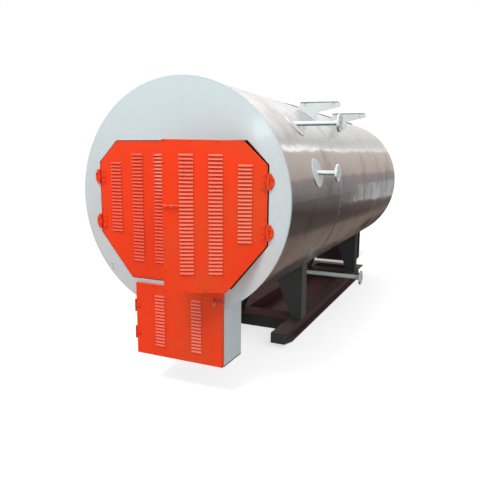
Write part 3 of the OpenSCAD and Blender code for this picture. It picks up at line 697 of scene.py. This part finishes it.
def bracket_finish(c):
    """A darker copy of the nozzle paint, so nozzles and brackets are lit and shaded copies of one paint;
    it is darker at the brackets' top edges and has painted shade round their holes and underneath.
    """
    holes = [m["pos_m"] for m in frame["record"]["mounts"] if "bracket" in m["name"]]
    x, _, z = holes[0]
    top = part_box("front_bracket")[1].z
    marks = [(0.014, (None, None, top))]
    # Painted shade round the two holes
    marks += [(0.017, (x + dx, None, z)) for dx in (-0.138, 0.138)]
    return paint_finish("Bracket paint", shade(c.nozzle, 0.86), 0.40, 0.03, 0.10, below=0.9,
                        marks=marks)


def slot_finishes(c):
    """The finish of each material slot in the record."""
    return {
        # The front paint turns cyan towards the top: a painted sky reflection
        "front_paint": paint_finish("Front paint", c.front, 0.38, 0.02, 0.06, coat=0.35,
                                    patchy=(0.565, 0.655, 0.665), sky_tint_spans=((2, 1.2, 2.5),)),
        # The door paint's upward faces carry a painted highlight, paler where X rises from 0.10 to 0.66
        "door_paint": door_finish("Door paint", c.door, c.faded, (0.95, 0.22, 0.14),
                                  ((0, 0.10, 0.66),)),
        "cladding": sheet_finish("Cladding sheet", c.sheet),
        "skid_paint": skid_finish("Skid paint", c.skid, c.dust),
        # The primer has painted side light on faces that look along X, and its tops turn paler towards the
        # front
        "primer": primer_finish("Primer", c.primer, 0.45, tinted(c.dust, 0.95, 0.80, 0.80),
                                faded=c.primer, paler=(0.185, 0.142, 0.114),
                                fading=((1, -0.10, -0.40),), sideways=0.5),
        # Painted shade on the nozzles' undersides; the brackets take a darker copy of this paint
        "nozzle_paint": paint_finish("Nozzle paint", c.nozzle, 0.40, 0.03, 0.10, below=0.9),
        "lock_steel": metal_finish("Lock steel", c.lock, 0.36, 0.4),
    }


def node_finishes(c, primer):
    """The finishes, by node, of the solids whose shade differs from their slot's."""
    brackets = bracket_finish(c)
    # The box hinges and straps take a darker copy of the door paint, a painted shade, with painted shade in
    # their corners
    hinges = paint_finish("Box hinge paint", shade(c.door, 0.8), 0.34, 0.03, 0.08, gloss=0.25,
                          corners=0.5)
    # The rear legs and pad take a darker copy of the skid paint: painted shade
    rear_leg_shade = skid_finish("Rear leg paint", shade(c.skid, 0.62), c.dust)
    return {
        "front_bracket": brackets,
        "rear_bracket": brackets,
        "upper_collar": metal_finish("Dull sheet", shade(c.sheet, 1.3), 0.45, 0.3),
        # The shut leaf's upward faces carry a painted highlight, paler at the top of its third louvre
        # column
        "left_leaf": door_finish("Shut leaf paint", c.door, (0.93, 0.112, 0.06), (0.95, 0.25, 0.19),
                                 ((0, -0.22, -0.18), (2, 1.50, 1.68))),
        # The bolt bar takes a paler, pinker door paint, a painted highlight, with painted shade under it
        "leaf_bolt": paint_finish("Worn door paint", tinted(c.door, 1, 2, 6), 0.35, 0.1, 0.2,
                                  below=0.4),
        # The box door's upward faces carry a painted highlight, paler where X passes 0
        "box_door": door_finish("Box door paint", c.door, (0.95, 0.157, 0.10), (0.97, 0.21, 0.14),
                                ((0, -0.1, 0.1),)),
        "box_hinge_plates": hinges,
        "box_door_straps": hinges,
        # Painted shade under the hasp
        "door_hasp": paint_finish("Hasp paint", (0.52, 0.04, 0.03), 0.35, 0.1, 0.2, below=0.6),
        # Painted shade where the box meets the parts round it, and a painted shadow along its bottom edge
        "service_box": paint_finish("Box paint", (0.60, 0.65, 0.67), 0.38, 0.02, 0.06, corners=0.5,
                                    alone=False,
                                    marks=[(0.012, (None, None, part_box("service_box")[0].z))]),
        # The front base plate takes the primer's painted shade tone
        "front_base_plate": finish_named("Inner primer"),
        # The skid floor takes a paler copy of the primer: painted light on a plate that lies in the drum's
        # shadow
        "skid_floor": primer_finish("Floor primer", tinted(c.primer, 2.2, 1.6, 1.8), 0.2, c.dust),
        "end_cross_beam": primer,
        "rear_left_leg": rear_leg_shade,
        "rear_right_leg": rear_leg_shade,
        "rear_saddle_pad": rear_leg_shade,
    }


def fitting_finishes(c):
    """The finishes that only the scene's own pieces have."""
    # A redder copy of the primer, a painted shade tone for the left runner and the plates inside the skid
    primer_finish("Inner primer", (0.122, 0.046, 0.048), 0.3, tinted(c.dust, 0.95, 0.80, 0.80),
                  gloss=0.05)
    metal_finish("Zinc", (0.45, 0.45, 0.44), 0.42)
    paint_finish("Screw paint", shade(c.door, 0.45), 0.45, 0.1, 0.2, gloss=0.3)


class BOILER_OT_finishes(bpy.types.Operator):
    """Make the finishes and give them to the boiler's solids"""

    bl_idname = "boiler.finishes"
    bl_label = "Finishes"

    def execute(self, context):
        c = context.scene.boiler_finish
        made = slot_finishes(c)
        fitting_finishes(c)
        own = node_finishes(c, made["primer"])
        for entry in frame["record"]["subparts"]:
            name = entry["node"]
            materials = frame["nodes"][name].data.materials
            materials.clear()
            materials.append(own.get(name, made[entry["material_slot"]]))
        # The drum's sheet hardly mirrors the gauge nozzles
        for name in ("upper_gauge_nozzle", "lower_gauge_nozzle"):
            frame["nodes"][name].visible_glossy = False
        return {"FINISHED"}


class BOILER_OT_leaf_screws(bpy.types.Operator):
    """Set the screws along the edges of both front leaves"""

    bl_idname = "boiler.leaf_screws"
    bl_label = "Leaf screws"

    def execute(self, context):
        s = context.scene.boiler_fittings
        line = along_outline(inner_outline(LEAF_OUTLINE, s.screw_inset), s.screw_gap)
        right = [((x, FACE_Y, z), (0, -1, 0)) for x, z in line]
        left = [((-x, y, z), d) for (x, y, z), d in right]
        facing = (math.sin(AJAR), -math.cos(AJAR), 0)
        right = [(opened(p), facing) for p, _ in right]
        for name, places, body in (("left_leaf_screws", left, "left_leaf"),
                                   ("right_leaf_screws", right, "right_leaf")):
            set_fittings(name, places, screw_shape(s.screw_d), finish_named("Screw paint"), body,
                         s.seed)
        return {"FINISHED"}


class BOILER_OT_hinge_bolts(bpy.types.Operator):
    """Set the bolts of the leaf hinges and the box hinges"""

    bl_idname = "boiler.hinge_bolts"
    bl_label = "Hinge bolts"

    def execute(self, context):
        s = context.scene.boiler_fittings
        door = finish_named("Door paint")
        ears = [((side * EAR_BOLT_X, STRAP_FACE_Y, z + dz), (0, -1, 0))
                for side in (-1, 1) for z in LEAF_HINGES_Z for dz in (-0.024, 0.024)]
        set_fittings("ear_bolts", ears, bolt_shape(s.bolt_d), door, "boiler", s.seed)
        strap = [(STRAP_BOLT_X, STRAP_FACE_Y, z + dz)
                 for z in LEAF_HINGES_Z for dz in (-0.042, 0, 0.042)]
        left = [((-x, y, z), (0, -1, 0)) for x, y, z in strap]
        right = [(opened(p), (math.sin(AJAR), -math.cos(AJAR), 0)) for p in strap]
        for name, places, body in (("left_strap_bolts", left, "left_leaf"),
                                   ("right_strap_bolts", right, "right_leaf")):
            set_fittings(name, places, bolt_shape(s.bolt_d * 0.8), door, body, s.seed)
        box = [((x, BOX_STRAP_FACE_Y, z), (0, -1, 0)) for z in BOX_HINGES_Z for x in BOX_BOLTS_X]
        set_fittings("box_strap_bolts", box, bolt_shape(s.bolt_d * 0.7), door, "box_door",
                     s.seed)
        return {"FINISHED"}


class BOILER_OT_box_screws(bpy.types.Operator):
    """Set the screws round the box door"""

    bl_idname = "boiler.box_screws"
    bl_label = "Box door screws"

    def execute(self, context):
        s = context.scene.boiler_fittings
        low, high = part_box("box_door")
        d = s.screw_inset
        left, right, bottom, top = low.x + d, high.x - d, low.z + d, high.z - d
        edge = [(left, bottom), (right, bottom), (right, top), (left, top)]
        # The hasp and the hinge straps leave no room for screws
        places = [((x, BOX_DOOR_FACE_Y, z), (0, -1, 0)) for x, z in along_outline(edge, s.screw_gap)
                  if not (x > 0.28 and z > 0.77) and x > -0.37 or z < 0.33]
        set_fittings("box_door_screws", places, screw_shape(s.screw_d), finish_named("Screw paint"),
                     "box_door", s.seed)
        return {"FINISHED"}


class BOILER_OT_seam_rivets(bpy.types.Operator):
    """Set the row of rivets round the cladding's seam"""

    bl_idname = "boiler.seam_rivets"
    bl_label = "Cladding rivets"

    def execute(self, context):
        s = context.scene.boiler_fittings
        places = []
        for i in range(s.rivet_count):
            a = 2 * math.pi * (i + 0.5) / s.rivet_count
            d = Vector((math.cos(a), 0, math.sin(a)))
            places.append((Vector((0, SEAM_Y + RIVET_ROW, AXIS_Z)) + d * REAR_COURSE_R, d))
        set_fittings("seam_rivets", places, rivet_shape(s.rivet_d), finish_named("Zinc"), "boiler",
                     s.seed)
        return {"FINISHED"}


class BOILER_OT_plate_screws(bpy.types.Operator):
    """Set the two small screws low on the front plate"""

    bl_idname = "boiler.plate_screws"
    bl_label = "Plate screws"

    def execute(self, context):
        s = context.scene.boiler_fittings
        places = [((x, FACE_Y, z), (0, -1, 0)) for x, z in PLATE_SCREWS]
        set_fittings("plate_screws", places, screw_shape(s.screw_d * 1.3), finish_named("Zinc"),
                     "boiler", s.seed)
        return {"FINISHED"}


class BOILER_OT_welds(bpy.types.Operator):
    """Lay the weld beads of the nozzles, the drain pipe and the legs"""

    bl_idname = "boiler.welds"
    bl_label = "Weld beads"

    def execute(self, context):
        rings = [(ring_points((GAUGE_WELD_X, GAUGE_Y, z), GAUGE_WELD_R), True) for z in GAUGES_Z]
        rings += [(ring_points((x, DRAIN_Y, DRAIN_Z), r), True) for x, r in DRAIN_WELDS]
        beads = lay_beads("nozzle_welds", rings, finish_named("Nozzle paint"), "boiler")
        beads.visible_glossy = False
        runs = []
        for middle in SADDLES_Y:
            walls = (middle - LEG_HALF, middle + LEG_HALF)
            for side in (-1, 1):
                for wall in walls:
                    runs.append(([(side * x, wall, LEG_FOOT_Z) for x in LEG_FOOT_X], False))
                runs.append(([(side * LEG_OUTER_X, wall, LEG_FOOT_Z) for wall in walls], False))
                runs += [(self.under_drum(side, wall), False) for wall in walls]
        lay_beads("leg_welds", runs, finish_named("Skid paint"), "boiler")
        return {"FINISHED"}

    def under_drum(self, side, y, count=16):
        """Points along the saddle pad over a leg."""
        first, last = LEG_ARC_X
        across = [first + (last - first) * i / count for i in range(count + 1)]
        return [(side * x, y, AXIS_Z - math.sqrt(SADDLE_R ** 2 - x * x)) for x in across]


class BOILER_OT_runners(bpy.types.Operator):
    """Slope the undersides of the runners' front ends and close the recesses beside the beams"""

    bl_idname = "boiler.runners"
    bl_label = "Runner noses and stiffeners"

    def execute(self, context):
        s = context.scene.boiler_fittings
        rise, end = s.nose_rise, s.nose_len
        beams = [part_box(n) for n in ("front_cross_beam", "rear_cross_beam", "end_cross_beam")]
        plates = bmesh.new()
        stiffeners = bmesh.new()
        for name in ("left_runner", "right_runner"):
            low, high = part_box(name)
            tip, back, top, middle = low.y, high.y, high.z, (low.x + high.x) / 2
            lip, bend = top - FLANGE_T, tip + end
            bm = bmesh.new()
            slab(bm, [(tip, lip), (back, lip), (back, top), (tip, top)], low.x, high.x)
            slab(bm, [(tip, rise), (bend, 0), (back, 0), (back, FLANGE_T), (bend, FLANGE_T),
                      (tip, rise + FLANGE_T)], low.x, high.x)
            slab(bm, [(tip, rise + FLANGE_T), (bend, FLANGE_T), (back, FLANGE_T), (back, lip),
                      (tip, lip)], middle - WEB_T / 2, middle + WEB_T / 2)
            # The left runner takes the primer's painted shade tone
            mat = finish_named("Primer" if middle > 0 else "Inner primer")
            piece = piece_from(bm, name + "_nosed", mat, "boiler")
            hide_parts(name)
            slab(plates, [(tip - PLATE_T, rise), (tip, rise), (tip, top), (tip - PLATE_T, top)],
                 low.x, high.x)
            side = -1 if middle > 0 else 1
            recess = sorted((middle + side * WEB_T / 2, middle + side * RUNNER_HALF))
            for beam_low, beam_high in beams:
                for y in (beam_low.y, beam_high.y - PLATE_T):
                    slab(stiffeners, [(y, FLANGE_T), (y + PLATE_T, FLANGE_T), (y + PLATE_T, lip),
                                      (y, lip)], *recess)
        piece = piece_from(plates, "nosed_end_plates", finish_named("Skid paint"), "boiler")
        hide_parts("runner_end_plates")
        piece_from(stiffeners, "runner_stiffeners", finish_named("Primer"), "boiler")
        return {"FINISHED"}


class BOILER_OT_stage(bpy.types.Operator):
    """Make the floor, the soft light, the background and the camera"""

    bl_idname = "boiler.stage"
    bl_label = "Stage"

    def execute(self, context):
        self.make_floor(context)
        self.make_lights(context)
        self.make_world(context)
        self.make_camera(context)
        context.scene.view_settings.view_transform = "Standard"
        return {"FINISHED"}

    def make_floor(self, context):
        """A pale floor, with a painted shadow that the camera sees under the left of the drum and behind
        it.
        """
        bm = bmesh.new()
        bmesh.ops.create_grid(bm, x_segments=2, y_segments=2, size=60)
        mesh = bpy.data.meshes.new("floor")
        bm.to_mesh(mesh)
        bm.free()
        mat, tree, shader = new_finish("Pale floor", (0.9, 0.9, 0.9))
        shader.inputs["Roughness"].default_value = 0.9
        shader.inputs["Specular IOR Level"].default_value = 0.0
        shader.inputs["Emission Color"].default_value = (1, 1, 1, 1)
        seen = add(tree, "ShaderNodeLightPath").outputs["Is Camera Ray"]
        x, y = spot(tree)[:2]
        # Painted shadow: darkest beside the left runner, lighter behind the drum
        behind = ramped(tree, y, 0, 5.4, (
            (0.1, (0, 0, 0)), (0.6, (1, 1, 1)), (2.6, (1, 1, 1)), (3.7, (0.60, 0.60, 0.60)),
            (4.3, (0.52, 0.52, 0.52)), (5.4, (0, 0, 0)),
        ))
        under = times(tree, steps(tree, (x, -1.05, -0.76), (x, 0.15, -0.05)), behind)
        under = times(tree, under, seen)
        put(tree, shader.inputs["Base Color"],
            blend(tree, under, (0.78, 0.77, 0.76), (0.16, 0.09, 0.09)))
        put(tree, shader.inputs["Emission Strength"],
            times(tree, rest(tree, under), times(tree, seen, 0.66)))
        mesh.materials.append(mat)
        floor = bpy.data.objects.new("floor", mesh)
        context.scene.collection.objects.link(floor)
        floor.visible_glossy = False

    def make_lights(self, context):
        """Two soft lamps, and a small one that only mirror reflections show."""
        for name, place, aim, size, power in (
            ("overhead softbox", (-0.7, -5.6, 7.2), (0.0, -0.6, 1.0), 3.0, 345),
            ("side fill", (6.5, -4.5, 3.2), (0.4, 0.2, 1.2), 4.0, 80),
            ("glint", (-1.3, -6.36, 2.38), (0.676, -1.783, 2.059), 0.3, 5),
        ):
            lamp = bpy.data.lights.new(name, "AREA")
            lamp.size = size
            lamp.energy = power
            obj = bpy.data.objects.new(name, lamp)
            context.scene.collection.objects.link(obj)
            obj.location = place
            back = Vector(place) - Vector(aim)
            obj.rotation_mode = "QUATERNION"
            obj.rotation_quaternion = back.to_track_quat("Z", "Y")
            obj.visible_diffuse = name != "glint"

    def make_world(self, context):
        """Plain soft light all round, plain white for the camera, and a room for reflections.

        The room is read from z and from side, which is how far right a direction goes for its
        way to the rear. Its levels slope, so low and high are z with a share of side."""
        world = bpy.data.worlds.new("Studio")
        context.scene.world = world
        world.use_nodes = True
        tree = world.node_tree
        tree.nodes.clear()
        x, y, z = axes(tree, "ShaderNodeTexCoord", "Generated")
        side = times(tree, x, times(tree, y, 0.2, "MAXIMUM"), "DIVIDE")
        side = ranged(tree, side, -0.8, 0.5, -0.8, 0.5)
        low = times(tree, times(tree, side, -0.25), z, "ADD")
        high = times(tree, times(tree, side, -0.73), z, "ADD")
        ground = ramped(tree, low, -0.45, 0.45, (
            (-0.45, (0.10, 0.08, 0.07)), (-0.29, (0.10, 0.08, 0.07)), (-0.235, (0.085, 0.065, 0.06)),
            (-0.19, (0.14, 0.115, 0.11)), (-0.155, (0.16, 0.14, 0.14)), (-0.13, (0.21, 0.19, 0.19)),
            (-0.09, (0.285, 0.26, 0.27)), (-0.005, (0.375, 0.33, 0.345)), (0.010, (0.56, 0.48, 0.43)),
            (0.12, (0.67, 0.60, 0.56)), (0.45, (0.85, 0.83, 0.80)),
        ))
        sky = ramped(tree, high, 0.10, 0.40, (
            (0.10, (1.32, 1.34, 1.40)), (0.120, (1.32, 1.34, 1.40)), (0.142, (0.80, 0.79, 0.78)),
            (0.20, (0.74, 0.74, 0.74)), (0.26, (0.89, 0.90, 0.91)), (0.33, (1.05, 1.05, 1.06)),
            (0.40, (1.20, 1.19, 1.18)),
        ))
        dim = times(tree, ranged(tree, side, 0.16, 0.06, 0, 0.9), ranged(tree, high, 0.15, 0.13, 0, 1))
        sky = blend(tree, dim, sky, (0.84, 0.82, 0.80))
        seen = blend(tree, steps(tree, (high, 0.100, 0.116)), ground, sky)
        glare = steps(tree, (side, 0.15, 0.20), (high, 0.172, 0.152), (high, 0.104, 0.118))
        seen = blend(tree, glare, seen, (1.50, 1.50, 1.54))
        floor = times(tree, times(tree, side, 0.92), z, "ADD")
        seen = blend(tree, steps(tree, (floor, -0.09, -0.17)), seen, (0.22, 0.17, 0.145))
        panel = steps(tree, (side, 0.21, 0.19), (z, -0.135, -0.12), (z, -0.01, -0.03))
        seen = blend(tree, panel, seen, (0.49, 0.49, 0.50))
        slope = times(tree, times(tree, z, -2.8), side, "ADD")
        dark = steps(tree, (slope, 0.66, 0.56), (side, 0.03, -0.07), (z, -0.08, -0.14))
        seen = blend(tree, dark, seen, (0.02, 0.016, 0.015))
        bright = steps(tree, (side, -0.12, -0.20), (z, 0.26, 0.30))
        seen = blend(tree, bright, seen, (1.45, 1.45, 1.47))
        warm = steps(tree, (side, -0.30, -0.36), (z, 0.08, 0.14))
        seen = blend(tree, warm, seen, (1.24, 1.14, 1.12))
        ahead = ramped(tree, z, -1, 1, (
            (-1, (0.20, 0.18, 0.17)), (-0.22, (0.14, 0.13, 0.12)), (-0.14, (0.4, 0.4, 0.4)),
            (-0.05, (0.8, 0.8, 0.8)), (0.05, (1.1, 1.1, 1.1)), (1, (1.4, 1.4, 1.4)),
        ))
        seen = blend(tree, steps(tree, (y, 0.05, -0.05)), seen, ahead)
        rays = add(tree, "ShaderNodeLightPath").outputs
        around = add(tree, "ShaderNodeBackground")
        around.inputs["Color"].default_value = (0.94, 0.97, 1.0, 1)
        around.inputs["Strength"].default_value = 0.52
        mirrored = add(tree, "ShaderNodeBackground")
        put(tree, mirrored.inputs["Color"], seen)
        plain = add(tree, "ShaderNodeBackground")
        plain.inputs["Color"].default_value = (1, 1, 1, 1)
        first = add(tree, "ShaderNodeMixShader")
        put(tree, first.inputs[0], rays["Is Glossy Ray"])
        put(tree, first.inputs[1], around.outputs[0])
        put(tree, first.inputs[2], mirrored.outputs[0])
        second = add(tree, "ShaderNodeMixShader")
        straight = times(tree, rays["Is Camera Ray"], rays["Is Transmission Ray"], "MAXIMUM")
        put(tree, second.inputs[0], straight)
        put(tree, second.inputs[1], first.outputs[0])
        put(tree, second.inputs[2], plain.outputs[0])
        put(tree, add(tree, "ShaderNodeOutputWorld").inputs["Surface"], second.outputs[0])

    def make_camera(self, context):
        turn, down = CAMERA_TURN, CAMERA_DOWN
        flat = Vector((-math.sin(turn), math.cos(turn), 0))
        ahead = flat * math.cos(down) - Vector((0, 0, math.sin(down)))
        level = Vector((math.cos(turn), math.sin(turn), 0))
        above = level.cross(ahead)
        right = level * math.cos(CAMERA_ROLL) + above * math.sin(CAMERA_ROLL)
        up = above * math.cos(CAMERA_ROLL) - level * math.sin(CAMERA_ROLL)
        data = bpy.data.cameras.new("camera")
        data.sensor_width = 36
        data.lens = CAMERA_LENS
        data.shift_x, data.shift_y = CAMERA_SHIFT
        camera = bpy.data.objects.new("camera", data)
        context.scene.collection.objects.link(camera)
        place = Matrix((right, up, -ahead)).transposed().to_4x4()
        place.translation = CAMERA_PLACE
        camera.matrix_world = place
        context.scene.camera = camera


class BOILER_PT_panel(bpy.types.Panel):
    """The boiler's pieces and their sizes"""

    bl_idname = "BOILER_PT_panel"
    bl_label = "Industrial boiler"
    bl_space_type = "VIEW_3D"
    bl_region_type = "UI"
    bl_category = "Boiler"

    def draw(self, context):
        layout = self.layout
        for operator in OPERATORS:
            layout.operator(operator.bl_idname)
        for settings in (context.scene.boiler_finish, context.scene.boiler_fittings):
            box = layout.box()
            for name in settings.__annotations__:
                box.prop(settings, name)


OPERATORS = (
    BOILER_OT_finishes,
    BOILER_OT_leaf_screws,
    BOILER_OT_hinge_bolts,
    BOILER_OT_box_screws,
    BOILER_OT_seam_rivets,
    BOILER_OT_plate_screws,
    BOILER_OT_welds,
    BOILER_OT_runners,
    BOILER_OT_stage,
)
CLASSES = (BoilerFinishSettings, BoilerFittingSettings, *OPERATORS, BOILER_PT_panel)


def register():
    for cls in CLASSES:
        bpy.utils.register_class(cls)
    bpy.types.Scene.boiler_finish = PointerProperty(type=BoilerFinishSettings)
    bpy.types.Scene.boiler_fittings = PointerProperty(type=BoilerFittingSettings)


def unregister():
    del bpy.types.Scene.boiler_fittings
    del bpy.types.Scene.boiler_finish
    for cls in reversed(CLASSES):
        bpy.utils.unregister_class(cls)


def main():
    register()
    bpy.ops.boiler.finishes()
    bpy.ops.boiler.leaf_screws()
    bpy.ops.boiler.hinge_bolts()
    bpy.ops.boiler.box_screws()
    bpy.ops.boiler.seam_rivets()
    bpy.ops.boiler.plate_screws()
    bpy.ops.boiler.welds()
    bpy.ops.boiler.runners()
    bpy.ops.boiler.stage()


if __name__ == "__main__":
    main()
